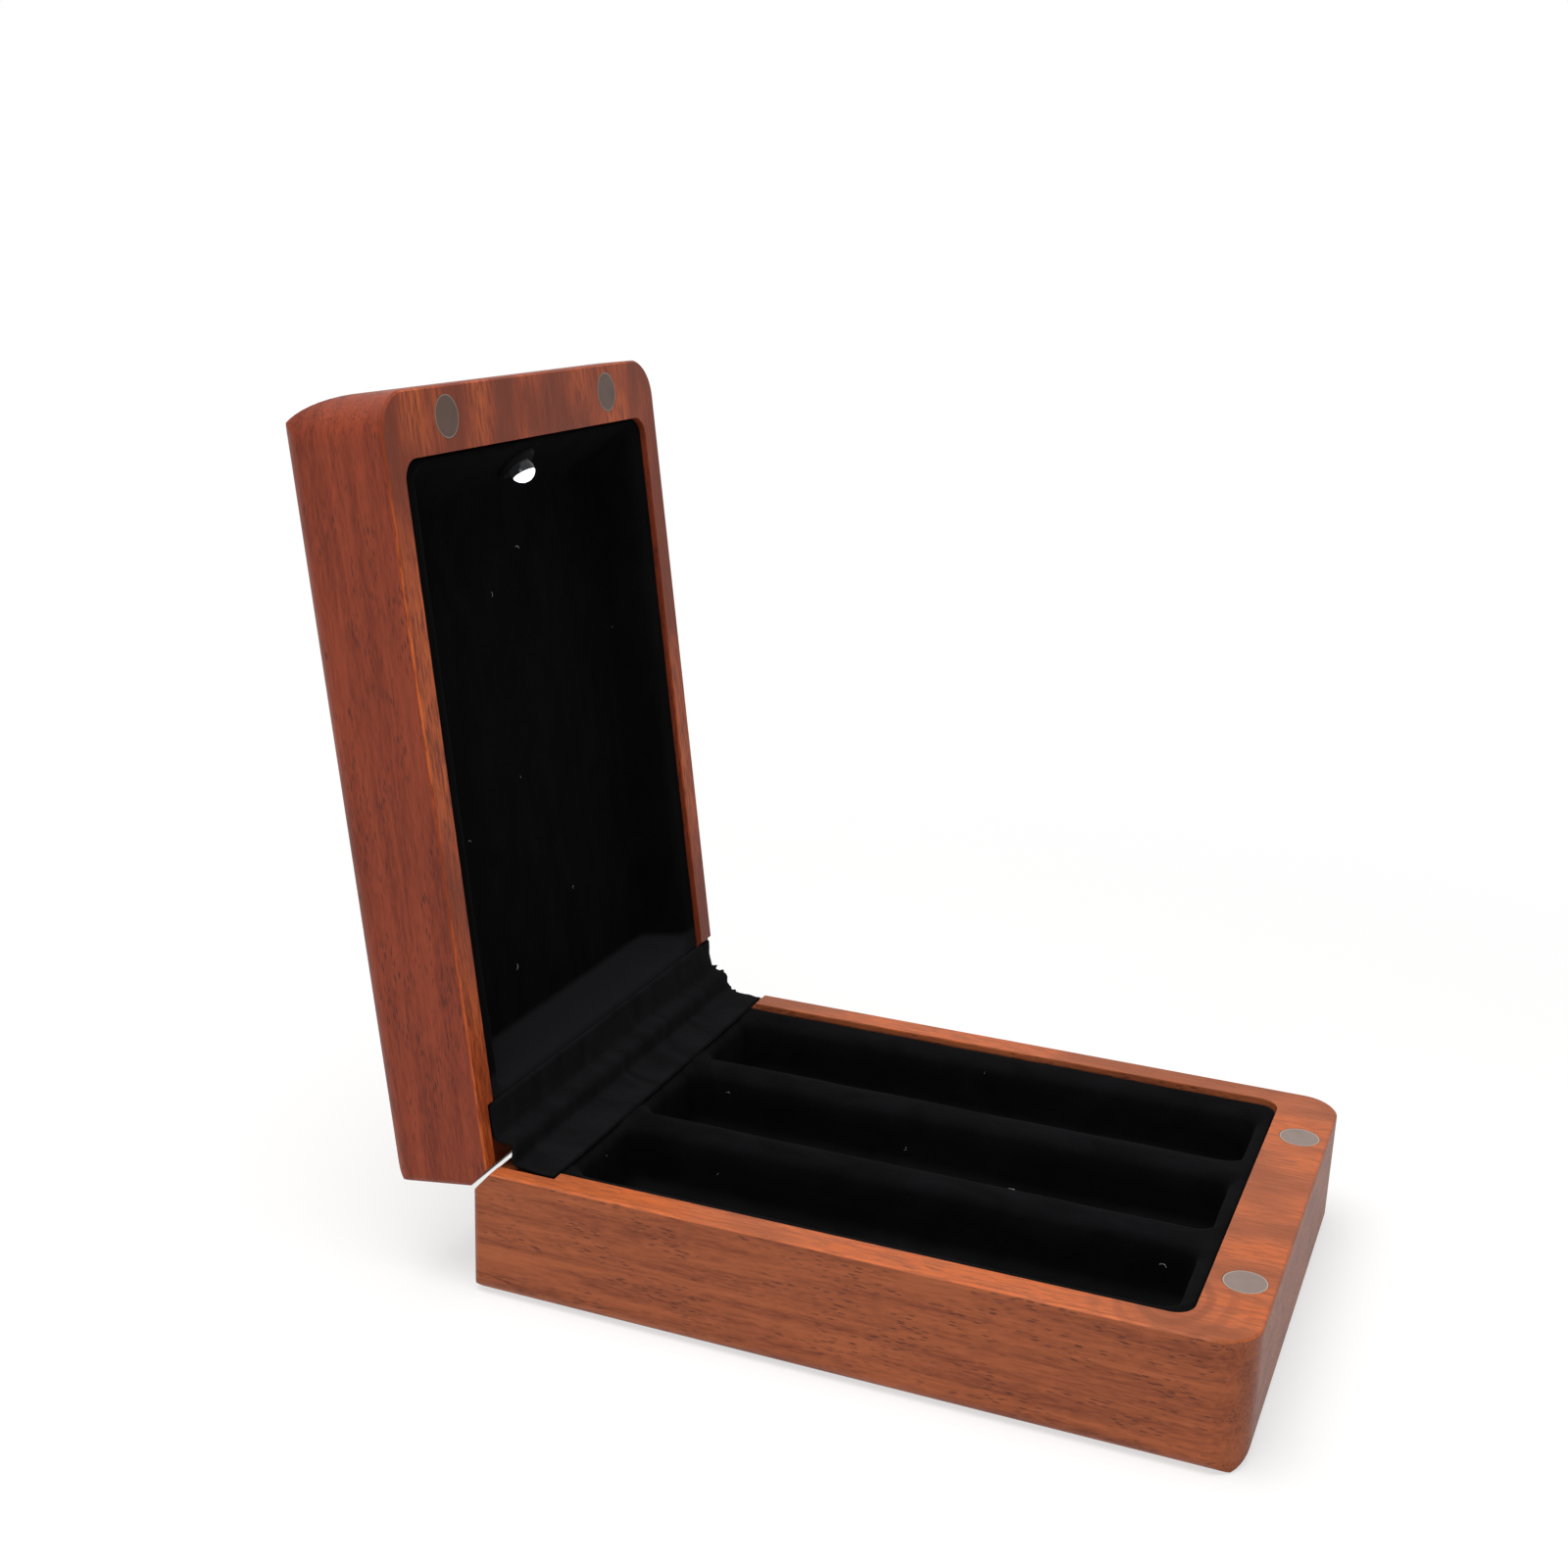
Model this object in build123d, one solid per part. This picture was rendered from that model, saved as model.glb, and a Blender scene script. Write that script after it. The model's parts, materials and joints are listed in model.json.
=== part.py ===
from build123d import *
from math import atan2, cos, degrees, radians, sin, tan
import os

# Lined wooden reed case with three long slots, standing open.
# Millimetres, +Z up, +X towards the front edge where the magnets are, origin at the
# centre of the underside of the base. Every lid piece is drawn with the lid shut and
# then swung open about the hinge pin.

# Case, both halves
case_length = 148.0
case_width = 106.0
base_height = 25.7
lid_height = 21.6
base_wall = 6.0
lid_wall = 5.5
end_band = 12.0
base_floor = 4.5
lid_top = 4.3
front_corner_radius = 8.0
rear_corner_radius = 2.0
cavity_corner_radius = 4.0
rim_gap = 0.1
rim_ease = 0.4
open_angle = 98.0

# Rounded outer edges
base_edge_radius = 3.5
lid_side_radius = 4.5
lid_nose_height = 13.5
lid_nose_length = 7.0
lid_heel_length = 10.0
lid_heel_height = 3.8

# Disc magnets in the front bands
magnet_diameter = 8.0
magnet_thickness = 3.0
magnet_spacing = 63.0
magnet_setback = 5.7
magnet_clearance = 0.05

# Hinge
hinge_length = 84.0
knuckle_count = 5
knuckle_radius = 1.4
knuckle_gap = 0.2
pin_radius = 0.75
pin_clearance = 0.05
leaf_thickness = 0.8
leaf_width = 8.2
leaf_clearance = 0.05
barrel_clearance = 0.35
chamfer_length = 4.2
axis_behind_rim = 0.6

# Hinge screws
screws_per_leaf = 3
screw_inset = 4.7
screw_radius = 1.0
screw_head_radius = 2.0
screw_head_depth = 0.7
screw_length = 6.5
screw_hole_clearance = 0.05
drive_length = 2.2
drive_width = 0.45
drive_depth = 0.3

# Velvet strip glued over the hinge
flap_thickness = 0.8
flap_clearance = 0.1
flap_near_end = 49.5
flap_far_end = 51.5
flap_bridge = 7.2
flap_reach = 15.2

# Slotted tray in the base
slot_count = 3
tray_side_margin = 4.9
slot_depth = 13.5
slot_ridge = 7.0
slot_corner_radius = 3.5
slot_rear_margin = 4.5
slot_front_margin = 3.6
slot_foot = 2.2
slot_flare = 1.8
slot_flare_depth = 2.4
velvet_thickness = 0.8
lining_clearance = 0.1

# Padded recess in the lid
recess_depth = 12.0
recess_side_margin = 5.0
recess_rear_margin = 4.2
recess_front_margin = 0.6
recess_front_slope = 9.0
recess_rear_slope = 2.6
recess_side_slope = 2.0
recess_corner_radius = 3.0

# Light in the lid
led_radius = 2.5
led_flange_radius = 2.95
led_flange_length = 1.0
led_length = 8.6
led_depth = 5.4
led_stand_out = 4.6
led_clearance = 0.1
collar_radius = 4.2
collar_thickness = 1.0
board_radius = 3.4
board_thickness = 1.0
lead_side = 0.5
lead_pitch = 2.54
lead_length = 2.4
cell_radius = 10.0
cell_thickness = 3.2
holder_wall = 1.2
holder_floor = 0.5
holder_height = 3.0
holder_setback = 24.7

# Places worked out from the sizes above
rear_x = -case_length / 2
front_x = case_length / 2
rim_z = base_height
lid_rim_z = base_height + rim_gap
lid_top_z = lid_rim_z + lid_height
axis_x = rear_x + chamfer_length - axis_behind_rim
axis_z = rim_z + rim_gap / 2
magnet_x = front_x - magnet_setback
cavity_rear_x = rear_x + end_band
cavity_front_x = front_x - end_band
cavity_length = cavity_front_x - cavity_rear_x
cavity_centre_x = (cavity_rear_x + cavity_front_x) / 2
slots_across = case_width - 2 * base_wall - 2 * tray_side_margin
slot_width = (slots_across - (slot_count - 1) * slot_ridge) / slot_count
rebate_depth = flap_thickness + 2 * flap_clearance
lining_drop = rebate_depth + lining_clearance
hinge_axis = Axis((axis_x, 0, axis_z), (0, 1, 0))
leaf_top_z = rim_z - rebate_depth
lid_leaf_bottom_z = lid_rim_z + rebate_depth


def block(x_low, x_high, y_low, y_high, z_low, z_high):
    """A plain block between two corners."""
    size = (x_high - x_low, y_high - y_low, z_high - z_low)
    centre = ((x_low + x_high) / 2, (y_low + y_high) / 2, (z_low + z_high) / 2)
    return Pos(*centre) * Box(*size)


def rod_along_y(radius, length, x, z):
    """A round rod that runs across the case."""
    return Pos(x, 0, z) * Rot(90, 0, 0) * Cylinder(radius, length)


def disc(radius, thickness, x, y, z_low):
    """A disc that lies flat, with its lower face at z_low."""
    return Pos(x, y, z_low + thickness / 2) * Cylinder(radius, thickness)


def opened(solid):
    """Swings a lid piece from the shut place to the open one."""
    return solid.rotate(hinge_axis, -open_angle)


def plan_block(z_low, z_high):
    """The outline of the case seen from above, as a solid."""
    outline = Rectangle(case_length, case_width)
    front = outline.vertices().sort_by(Axis.X)[-2:]
    outline = fillet(front, front_corner_radius)
    rear = outline.vertices().sort_by(Axis.X)[:2]
    outline = fillet(rear, rear_corner_radius)
    return Pos(0, 0, z_low) * extrude(outline, z_high - z_low)


def eased_block(z_low, z_high, rim_side):
    """The outline block with the edges of its rim face, lowest or highest, taken off."""
    solid = plan_block(z_low, z_high)
    return chamfer(solid.faces().sort_by(Axis.Z)[rim_side].edges(), rim_ease)


def cavity_block(wall, z_low, z_high, ease=0.0):
    """The hollow inside the walls, as a solid, drawn in by ease on each side."""
    length = cavity_length - 2 * ease
    width = case_width - 2 * wall - 2 * ease
    outline = RectangleRounded(length, width, cavity_corner_radius - ease)
    return Pos(cavity_centre_x, 0, z_low) * extrude(outline, z_high - z_low)


def base_side_profile():
    """The base from the side: rounded under, with the hinge bevel at the rear rim."""
    bevel_drop = chamfer_length * tan_of_half_open()
    r = base_edge_radius
    line = Polyline((rear_x, r), (rear_x, rim_z - bevel_drop), (rear_x + chamfer_length, rim_z),
                    (front_x, rim_z), (front_x, r))
    front_arc = RadiusArc((front_x, r), (front_x - r, 0), r)
    under = Line((front_x - r, 0), (rear_x + r, 0))
    rear_arc = RadiusArc((rear_x + r, 0), (rear_x, r), r)
    return make_face([line, front_arc, under, rear_arc])


def tan_of_half_open():
    """Slope of the hinge bevels, which lie parallel when the lid is open."""
    return tan(radians(open_angle / 2))


def swept_across(profile):
    """A side profile made as wide as the case."""
    return extrude(Plane.XZ * profile, case_width / 2, both=True)


def end_profile_block(z_flat, z_round, radius):
    """The case from its end, with two rounded edges at z_round."""
    half = case_width / 2
    way = 1 if z_round > z_flat else -1
    z_arc = z_round - way * radius
    line = Polyline((-half, z_arc), (-half, z_flat), (half, z_flat), (half, z_arc))
    first = RadiusArc((half, z_arc), (half - radius, z_round), -way * radius)
    across = Line((half - radius, z_round), (radius - half, z_round))
    second = RadiusArc((radius - half, z_round), (-half, z_arc), -way * radius)
    profile = make_face([line, first, across, second])
    return extrude(Plane.YZ * profile, case_length / 2, both=True)


def magnet_places():
    """The two magnet centres across the front band."""
    return [("left", magnet_spacing / 2), ("right", -magnet_spacing / 2)]


def screw_places():
    """The screw centres along a hinge leaf."""
    pitch = hinge_length / screws_per_leaf
    return [(k + 0.5) * pitch - hinge_length / 2 for k in range(screws_per_leaf)]


def hinge_recess(z_low, z_high):
    """The seat that a hinge leaf is let into."""
    half = hinge_length / 2 + leaf_clearance
    return block(axis_x, axis_x + leaf_width + leaf_clearance, -half, half, z_low, z_high)


def barrel_groove():
    """The round groove that clears the hinge knuckles."""
    radius = knuckle_radius + barrel_clearance
    return rod_along_y(radius, hinge_length + 2 * barrel_clearance, axis_x, axis_z)


def flap_rebate(z_low, z_high):
    """The shallow step in the rear rim that the velvet strip lies in."""
    return block(rear_x, cavity_rear_x + cavity_corner_radius, -flap_near_end - lining_clearance,
                 case_width, z_low, z_high)


def make_base_shell():
    """The wooden lower half."""
    shell = eased_block(0, rim_z, -1) & swept_across(base_side_profile())
    shell = shell & end_profile_block(rim_z, 0, base_edge_radius)
    shell -= cavity_block(base_wall, base_floor, rim_z + 1)
    shell -= flap_rebate(rim_z - rebate_depth, rim_z + 1)
    shell -= hinge_recess(leaf_top_z - leaf_thickness - leaf_clearance, rim_z + 1)
    shell -= barrel_groove()
    for _, y in magnet_places():
        depth = magnet_thickness + magnet_clearance
        shell -= disc(magnet_diameter / 2 + magnet_clearance, depth + 1, magnet_x, y, rim_z - depth)
    for y in screw_places():
        shell -= screw_hole(y, leaf_top_z - leaf_thickness - leaf_clearance, -1)
    return shell


def screw_hole(y, face_z, way):
    """A pilot hole under a hinge leaf, going down or up from face_z."""
    radius = screw_radius + screw_hole_clearance
    depth = screw_length
    z_low = face_z - depth if way < 0 else face_z
    return disc(radius, depth, axis_x + screw_inset, y, z_low)


def lid_side_profile():
    """The lid from the side, shut: low crown at the hinge, long round nose at the front."""
    bevel_rise = chamfer_length * tan_of_half_open()
    heel_z = lid_top_z - lid_heel_height
    nose_z = lid_top_z - lid_nose_height
    rim = Polyline((front_x, nose_z), (front_x, lid_rim_z), (rear_x + chamfer_length, lid_rim_z),
                   (rear_x, lid_rim_z + bevel_rise), (rear_x, heel_z))
    heel = EllipticalCenterArc((rear_x + lid_heel_length, heel_z), lid_heel_length,
                               lid_heel_height, start_angle=90, arc_size=90)
    top = Line((rear_x + lid_heel_length, lid_top_z), (front_x - lid_nose_length, lid_top_z))
    nose = EllipticalCenterArc((front_x - lid_nose_length, nose_z), lid_nose_length,
                               lid_nose_height, start_angle=0, arc_size=90)
    return make_face([rim, heel, top, nose])


def make_lid_shell():
    """The wooden upper half, shut."""
    shell = eased_block(lid_rim_z, lid_top_z, 0) & swept_across(lid_side_profile())
    shell = shell & end_profile_block(lid_rim_z, lid_top_z, lid_side_radius)
    shell -= cavity_block(lid_wall, lid_rim_z - 1, lid_top_z - lid_top)
    shell -= flap_rebate(lid_rim_z - 1, lid_rim_z + rebate_depth)
    shell -= hinge_recess(lid_rim_z - 1, lid_leaf_bottom_z + leaf_thickness + leaf_clearance)
    shell -= barrel_groove()
    shell -= led_hole()
    for _, y in magnet_places():
        depth = magnet_thickness + magnet_clearance
        shell -= disc(magnet_diameter / 2 + magnet_clearance, depth + 1, magnet_x, y, lid_rim_z - 1)
    for y in screw_places():
        shell -= screw_hole(y, lid_leaf_bottom_z + leaf_thickness + leaf_clearance, 1)
    return shell


def slot_centres():
    """The slot centre lines across the tray."""
    pitch = slot_width + slot_ridge
    return [(k - (slot_count - 1) / 2) * pitch for k in range(slot_count)]


def slot_outline(y, ease, z):
    """One rounded level of a slot, made larger by ease on each side."""
    x_low = cavity_rear_x + slot_rear_margin - ease
    x_high = cavity_front_x - slot_front_margin + ease
    outline = RectangleRounded(x_high - x_low, slot_width + 2 * ease, slot_corner_radius + ease)
    return Pos((x_low + x_high) / 2, y, z) * outline


def slot_shell(y, z_floor, z_top):
    """The outside of one slot's velvet: straight walls and a flared mouth."""
    ease = velvet_thickness
    levels = [slot_outline(y, ease, z_floor),
              slot_outline(y, ease, z_top - slot_flare_depth),
              slot_outline(y, ease + slot_flare, z_top)]
    return loft(levels, ruled=True)


def slot_space(y, z_floor, z_top, z_end):
    """The room in one slot: a drawn-in foot, straight walls and a flared mouth."""
    levels = [slot_outline(y, -slot_foot, z_floor),
              slot_outline(y, 0, z_floor + slot_foot),
              slot_outline(y, 0, z_top - slot_flare_depth),
              slot_outline(y, slot_flare, z_top),
              slot_outline(y, slot_flare, z_end)]
    return loft(levels, ruled=True)


def make_tray():
    """The tray core and its velvet skin."""
    top_z = rim_z - lining_drop
    skin_z = top_z - velvet_thickness
    slot_z = top_z - slot_depth
    core = cavity_block(base_wall, base_floor, skin_z, lining_clearance)
    skin = cavity_block(base_wall, skin_z, top_z, lining_clearance)
    for y in slot_centres():
        shell = slot_shell(y, slot_z - velvet_thickness, top_z)
        core -= shell
        skin += shell
    for y in slot_centres():
        skin -= slot_space(y, slot_z, top_z, rim_z)
    return core, skin


def recess_loft(ease):
    """The sloping recess in the lid lining, as a solid, made larger by ease."""
    z_mouth = lid_rim_z - rim_gap / 2
    z_floor = lid_rim_z + recess_depth + ease
    x_low = cavity_rear_x + recess_rear_margin - ease
    x_high = cavity_front_x - recess_front_margin + ease
    half = case_width / 2 - lid_wall - recess_side_margin + ease
    mouth = recess_outline(x_low, x_high, half, z_mouth)
    floor = recess_outline(x_low + recess_rear_slope, x_high - recess_front_slope,
                           half - recess_side_slope, z_floor)
    return loft([mouth, floor])


def recess_outline(x_low, x_high, half_width, z):
    """One rounded level of the lid recess."""
    outline = RectangleRounded(x_high - x_low, 2 * half_width, recess_corner_radius)
    return Pos((x_low + x_high) / 2, 0, z) * outline


def led_frame():
    """Places things along the light's axis: z runs out of the front slope into the case."""
    slope = atan2(recess_front_slope, recess_depth)
    share = led_depth / recess_depth
    x = cavity_front_x - recess_front_margin - recess_front_slope * share
    z = lid_rim_z + led_depth
    return Pos(x, 0, z) * Rot(0, -(90 + degrees(slope)), 0)


def led_hole():
    """The drilled pocket behind the light."""
    length = led_length - led_stand_out + lead_length + board_thickness + 2 * led_clearance
    hole = Cylinder(board_radius + led_clearance, length)
    return led_frame() * Pos(0, 0, led_clearance - length / 2) * hole


def make_lid_lining():
    """The padded core of the lid and its velvet skin, shut."""
    z_low = lid_rim_z + lining_drop
    outer = recess_loft(velvet_thickness)
    core = cavity_block(lid_wall, z_low + velvet_thickness, lid_top_z - lid_top, lining_clearance)
    sheet = cavity_block(lid_wall, z_low, z_low + velvet_thickness, lining_clearance)
    bag = cavity_block(lid_wall, z_low, lid_top_z - lid_top, lining_clearance) & outer
    core -= outer
    skin = (sheet + bag) - recess_loft(0)
    core -= led_hole()
    skin -= led_frame() * Cylinder(led_radius + led_clearance, 2 * led_length)
    core -= holder_pocket()
    return core, skin


def holder_pocket():
    """The well in the padding that the coin cell's holder sits in."""
    radius = cell_radius + holder_wall + 2 * led_clearance
    z_low = lid_rim_z + recess_depth + velvet_thickness
    return disc(radius, lid_top_z - lid_top - z_low, holder_x(), 0, z_low)


def holder_x():
    """The holder's centre along the case, set back from the front of the hollow."""
    return cavity_front_x - holder_setback


def make_bulb(back):
    """The lamp: a flange, a straight barrel and a dome, with its back face at back."""
    straight = led_length - led_flange_length - led_radius
    dome_z = back + led_flange_length + straight
    flange = Pos(0, 0, back + led_flange_length / 2) * Cylinder(led_flange_radius, led_flange_length)
    barrel = Pos(0, 0, dome_z - straight / 2) * Cylinder(led_radius, straight)
    return flange + barrel + Pos(0, 0, dome_z) * Sphere(led_radius)


def make_collar():
    """The ring that holds the lamp in the lining."""
    collar = Pos(0, 0, led_clearance + collar_thickness / 2) * Cylinder(collar_radius, collar_thickness)
    edge = collar.edges().filter_by(GeomType.CIRCLE).sort_by(Axis.Z)[-1]
    return chamfer(edge, collar_thickness / 2) - Cylinder(led_radius + led_clearance, led_length)


def make_holder(top_z):
    """The coin cell and the open cup that holds it against the lid."""
    x = holder_x()
    cell = disc(cell_radius, cell_thickness, x, 0, top_z - holder_floor - cell_thickness)
    cup = disc(cell_radius + holder_wall, holder_height, x, 0, top_z - holder_height)
    cup -= disc(cell_radius + led_clearance, holder_height, x, 0, top_z - holder_floor - holder_height)
    return cell, cup


def make_light():
    """The light, its collar, board and leads, the coin cell and its holder, shut."""
    frame = led_frame()
    back = led_stand_out - led_length
    board_z = back - lead_length - board_thickness / 2
    lead = Pos(0, 0, back - lead_length / 2) * Box(lead_side, lead_side, lead_length)
    leads = [frame * Pos(0, side * lead_pitch / 2, 0) * lead for side in (-1, 1)]
    cell, cup = make_holder(lid_top_z - lid_top)
    return {"led_bulb": frame * make_bulb(back), "led_collar": frame * make_collar(),
            "led_board": frame * Pos(0, 0, board_z) * Cylinder(board_radius, board_thickness),
            "led_leads": Compound(leads), "coin_cell": cell, "cell_holder": cup}


def leaf_blank(z_low, z_high):
    """The flat of a hinge leaf, clear of the other leaf's knuckles."""
    x_low = axis_x + knuckle_radius + barrel_clearance
    return block(x_low, axis_x + leaf_width, -hinge_length / 2, hinge_length / 2, z_low, z_high)


def make_leaf(first, z_low, z_high, head_face_z, way):
    """A hinge leaf with every other knuckle, from number first."""
    leaf = leaf_blank(z_low, z_high)
    pitch = hinge_length / knuckle_count
    for k in range(first, knuckle_count, 2):
        y_low = k * pitch - hinge_length / 2 + knuckle_gap / 2
        y_high = y_low + pitch - knuckle_gap
        y = (y_low + y_high) / 2
        leaf += Pos(0, y, 0) * rod_along_y(knuckle_radius, y_high - y_low, axis_x, axis_z)
        x_high = axis_x + knuckle_radius + barrel_clearance + leaf_clearance
        leaf += block(axis_x, x_high, y_low, y_high, z_low, z_high)
    leaf -= rod_along_y(pin_radius + pin_clearance, hinge_length + 1, axis_x, axis_z)
    for y in screw_places():
        leaf -= screw_seat(y, head_face_z, way)
    return leaf


def screw_seat(y, face_z, way):
    """The countersunk hole in a leaf; way is -1 where the screw goes down."""
    ease = screw_hole_clearance
    cone = Cone(screw_radius + ease, screw_head_radius + ease, screw_head_depth)
    hole = Cylinder(screw_radius + ease, 4 * leaf_thickness)
    seat = Pos(0, 0, -screw_head_depth / 2) * cone + hole
    turn = Rot(0, 0, 0) if way < 0 else Rot(180, 0, 0)
    return Pos(axis_x + screw_inset, y, face_z) * turn * seat


def make_screws(face_z, way):
    """The countersunk screws of one leaf."""
    screws = []
    turn = Rot(0, 0, 0) if way < 0 else Rot(180, 0, 0)
    for y in screw_places():
        head = Pos(0, 0, -screw_head_depth / 2) * Cone(screw_radius, screw_head_radius, screw_head_depth)
        shank_length = screw_length - screw_head_depth
        shank = Pos(0, 0, -screw_head_depth - shank_length / 2) * Cylinder(screw_radius, shank_length)
        drive = Box(drive_length, drive_width, 2 * drive_depth)
        screw = head + shank - drive
        screws.append(Pos(axis_x + screw_inset, y, face_z) * turn * screw)
    return screws


def make_flap():
    """The velvet strip over the hinge, in the open pose, laid on both rear rims."""
    angle = radians(open_angle)
    slope = tan_of_half_open()
    pivot = Vector(axis_x, 0, axis_z)
    along = Vector(cos(angle), 0, sin(angle))
    inward = Vector(sin(angle), 0, -cos(angle))
    seat = flap_thickness / 2 + flap_clearance - rebate_depth - rim_gap / 2
    reach = rear_x + flap_reach - axis_x
    corner = seat / slope
    start = pivot + Vector(reach, 0, seat)
    meet = pivot + along * corner + inward * seat
    end = pivot + along * reach + inward * seat
    bend_radius = (flap_bridge - corner) * slope
    path = FilletPolyline((start.X, start.Z), (meet.X, meet.Z), (end.X, end.Z), radius=bend_radius)
    strip = extrude(Plane.XZ * trace(path, flap_thickness), flap_near_end + flap_far_end)
    return Pos(0, flap_far_end, 0) * strip


def write(name, shape):
    """Writes one node."""
    export_step(shape, f"parts/{name}.step")


def build():
    """Makes every piece."""
    os.makedirs("parts", exist_ok=True)
    write("base_shell", make_base_shell())
    write("lid_shell", opened(make_lid_shell()))
    for side, y in magnet_places():
        low = rim_z - magnet_thickness
        write(f"base_magnet_{side}", disc(magnet_diameter / 2, magnet_thickness, magnet_x, y, low))
        magnet = disc(magnet_diameter / 2, magnet_thickness, magnet_x, y, lid_rim_z)
        write(f"lid_magnet_{side}", opened(magnet))
    core, skin = make_tray()
    write("slot_tray", core)
    write("tray_velvet", skin)
    core, skin = make_lid_lining()
    write("lid_padding", opened(core))
    write("lid_velvet", opened(skin))
    for name, solid in make_light().items():
        write(name, opened(solid))
    write("hinge_base_leaf", make_leaf(0, leaf_top_z - leaf_thickness, leaf_top_z, leaf_top_z, -1))
    lid_leaf = make_leaf(1, lid_leaf_bottom_z, lid_leaf_bottom_z + leaf_thickness, lid_leaf_bottom_z, 1)
    write("hinge_lid_leaf", opened(lid_leaf))
    write("hinge_pin", rod_along_y(pin_radius, hinge_length, axis_x, axis_z))
    write("hinge_base_screws", Compound(make_screws(leaf_top_z, -1)))
    write("hinge_lid_screws", Compound([opened(s) for s in make_screws(lid_leaf_bottom_z, 1)]))
    write("hinge_flap", make_flap())


build()
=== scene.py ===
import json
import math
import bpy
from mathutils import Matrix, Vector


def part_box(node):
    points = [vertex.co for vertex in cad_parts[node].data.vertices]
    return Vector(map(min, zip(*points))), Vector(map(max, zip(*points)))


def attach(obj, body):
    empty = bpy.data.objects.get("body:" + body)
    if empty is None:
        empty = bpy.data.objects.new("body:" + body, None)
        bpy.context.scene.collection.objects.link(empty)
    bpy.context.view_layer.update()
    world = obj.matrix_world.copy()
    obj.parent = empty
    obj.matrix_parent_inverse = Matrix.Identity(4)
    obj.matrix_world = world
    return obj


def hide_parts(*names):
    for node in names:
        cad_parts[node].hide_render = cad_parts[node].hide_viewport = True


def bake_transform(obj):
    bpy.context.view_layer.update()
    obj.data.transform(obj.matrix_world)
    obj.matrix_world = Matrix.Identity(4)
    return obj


bl_info = {
    "name": "Lined Reed Case",
    "version": (1, 0, 0),
    "blender": (4, 5, 0),
    "location": "View3D > Sidebar > Reed Case",
    "description": "Dresses a lined hardwood case with a lit lid, standing open",
    "category": "Object",
}

import bmesh
import bpy
from bpy.props import (
    FloatProperty,
    FloatVectorProperty,
    IntProperty,
    PointerProperty,
)
from bpy.types import Operator, Panel, PropertyGroup
from mathutils import Matrix, Vector, noise

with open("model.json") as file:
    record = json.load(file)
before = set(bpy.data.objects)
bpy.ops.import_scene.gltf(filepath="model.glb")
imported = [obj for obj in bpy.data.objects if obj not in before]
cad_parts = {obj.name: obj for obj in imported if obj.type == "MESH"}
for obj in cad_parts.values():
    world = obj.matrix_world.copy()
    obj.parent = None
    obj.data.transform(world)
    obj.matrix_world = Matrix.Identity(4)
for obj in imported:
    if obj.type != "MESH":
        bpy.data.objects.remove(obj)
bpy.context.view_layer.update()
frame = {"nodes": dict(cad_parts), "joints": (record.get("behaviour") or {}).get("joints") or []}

MM = 0.001
HINGE = frame["joints"][0]
PIVOT = Vector(HINGE["pos_m"])
OPEN_ANGLE = math.radians(HINGE["range_deg"][1])
OPENED = (
    Matrix.Translation(PIVOT)
    @ Matrix.Rotation(-OPEN_ANGLE, 4, "Y")
    @ Matrix.Translation(-PIVOT)
)
# Ways of the open lid: along its rim from the pin, and out of its rim towards the base
ALONG_LID = Vector((math.cos(OPEN_ANGLE), 0, math.sin(OPEN_ANGLE)))
INTO_CASE = Vector((math.sin(OPEN_ANGLE), 0, -math.cos(OPEN_ANGLE)))
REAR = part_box("base_shell")[0].x
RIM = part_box("base_shell")[1].z
# The lid's rim when the case is shut
LID_RIM = 2 * PIVOT.z - RIM
TRAY_LOW, TRAY_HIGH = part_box("tray_velvet")
TRAY_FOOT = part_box("slot_tray")[0].z
# Room between a lining and the walls of its recess
FIT = 0.1 * MM
RECESS_LOW = TRAY_LOW.x - FIT
RECESS_HIGH = TRAY_HIGH.x + FIT


def srgb(code):
    """The linear colour that an sRGB hex code shows as."""
    values = [int(code[k : k + 2], 16) / 255 for k in (1, 3, 5)]
    return tuple(v / 12.92 if v <= 0.04045 else ((v + 0.055) / 1.055) ** 2.4 for v in values)


def add(tree, kind, sockets=(), **settings):
    """Adds one node, sets it up, and fills its inputs or links them. A node that is given
    for an input is linked from its first output."""
    made = tree.nodes.new(kind)
    for name, value in settings.items():
        setattr(made, name, value)
    for key, value in dict(sockets).items():
        if isinstance(value, bpy.types.Node):
            value = value.outputs[0]
        if isinstance(value, bpy.types.NodeSocket):
            tree.links.new(value, made.inputs[key])
        else:
            made.inputs[key].default_value = value
    return made


# Settings


def colour(name, text, code):
    """A colour that a user can change, given as an sRGB hex code."""
    return FloatVectorProperty(
        name=name, description=text, subtype="COLOR", size=3, min=0, max=1, default=srgb(code)
    )


def length(name, text, value):
    """A length that a user can change, given in millimetres."""
    return FloatProperty(
        name=name, description=text, unit="LENGTH", default=value * MM, precision=5
    )


class ReedCaseWood(PropertyGroup):
    """Colours and grain of the two wooden halves"""

    base_side: colour("Base side", "Oiled hardwood on the base's outer sides", "#8b4a2b")
    base_dark: colour("Base dark grain", "The darker stripes of the base", "#5d2a17")
    lid_side: colour("Lid side", "Oiled hardwood on the lid's outer sides", "#79331d")
    lid_dark: colour("Lid dark grain", "The darker stripes of the lid", "#521d0e")
    base_rim: colour("Base rim", "The freshly planed rim of the base", "#b9633a")
    lid_rim: colour("Lid rim", "The planed rim of the lid", "#953d1a")
    fleck: colour("Fleck", "Orange flecks along the grain", "#bb5c2a")
    pore: colour("Pores", "The short open pores of the wood", "#2c140d")
    pore_length: length("Pore length", "Length of one pore along the grain", 1.7)
    pore_width: length("Pore width", "Width of one pore across the grain", 0.3)
    stripe: length("Stripe", "Spacing of the colour stripes", 4.2)


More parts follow.
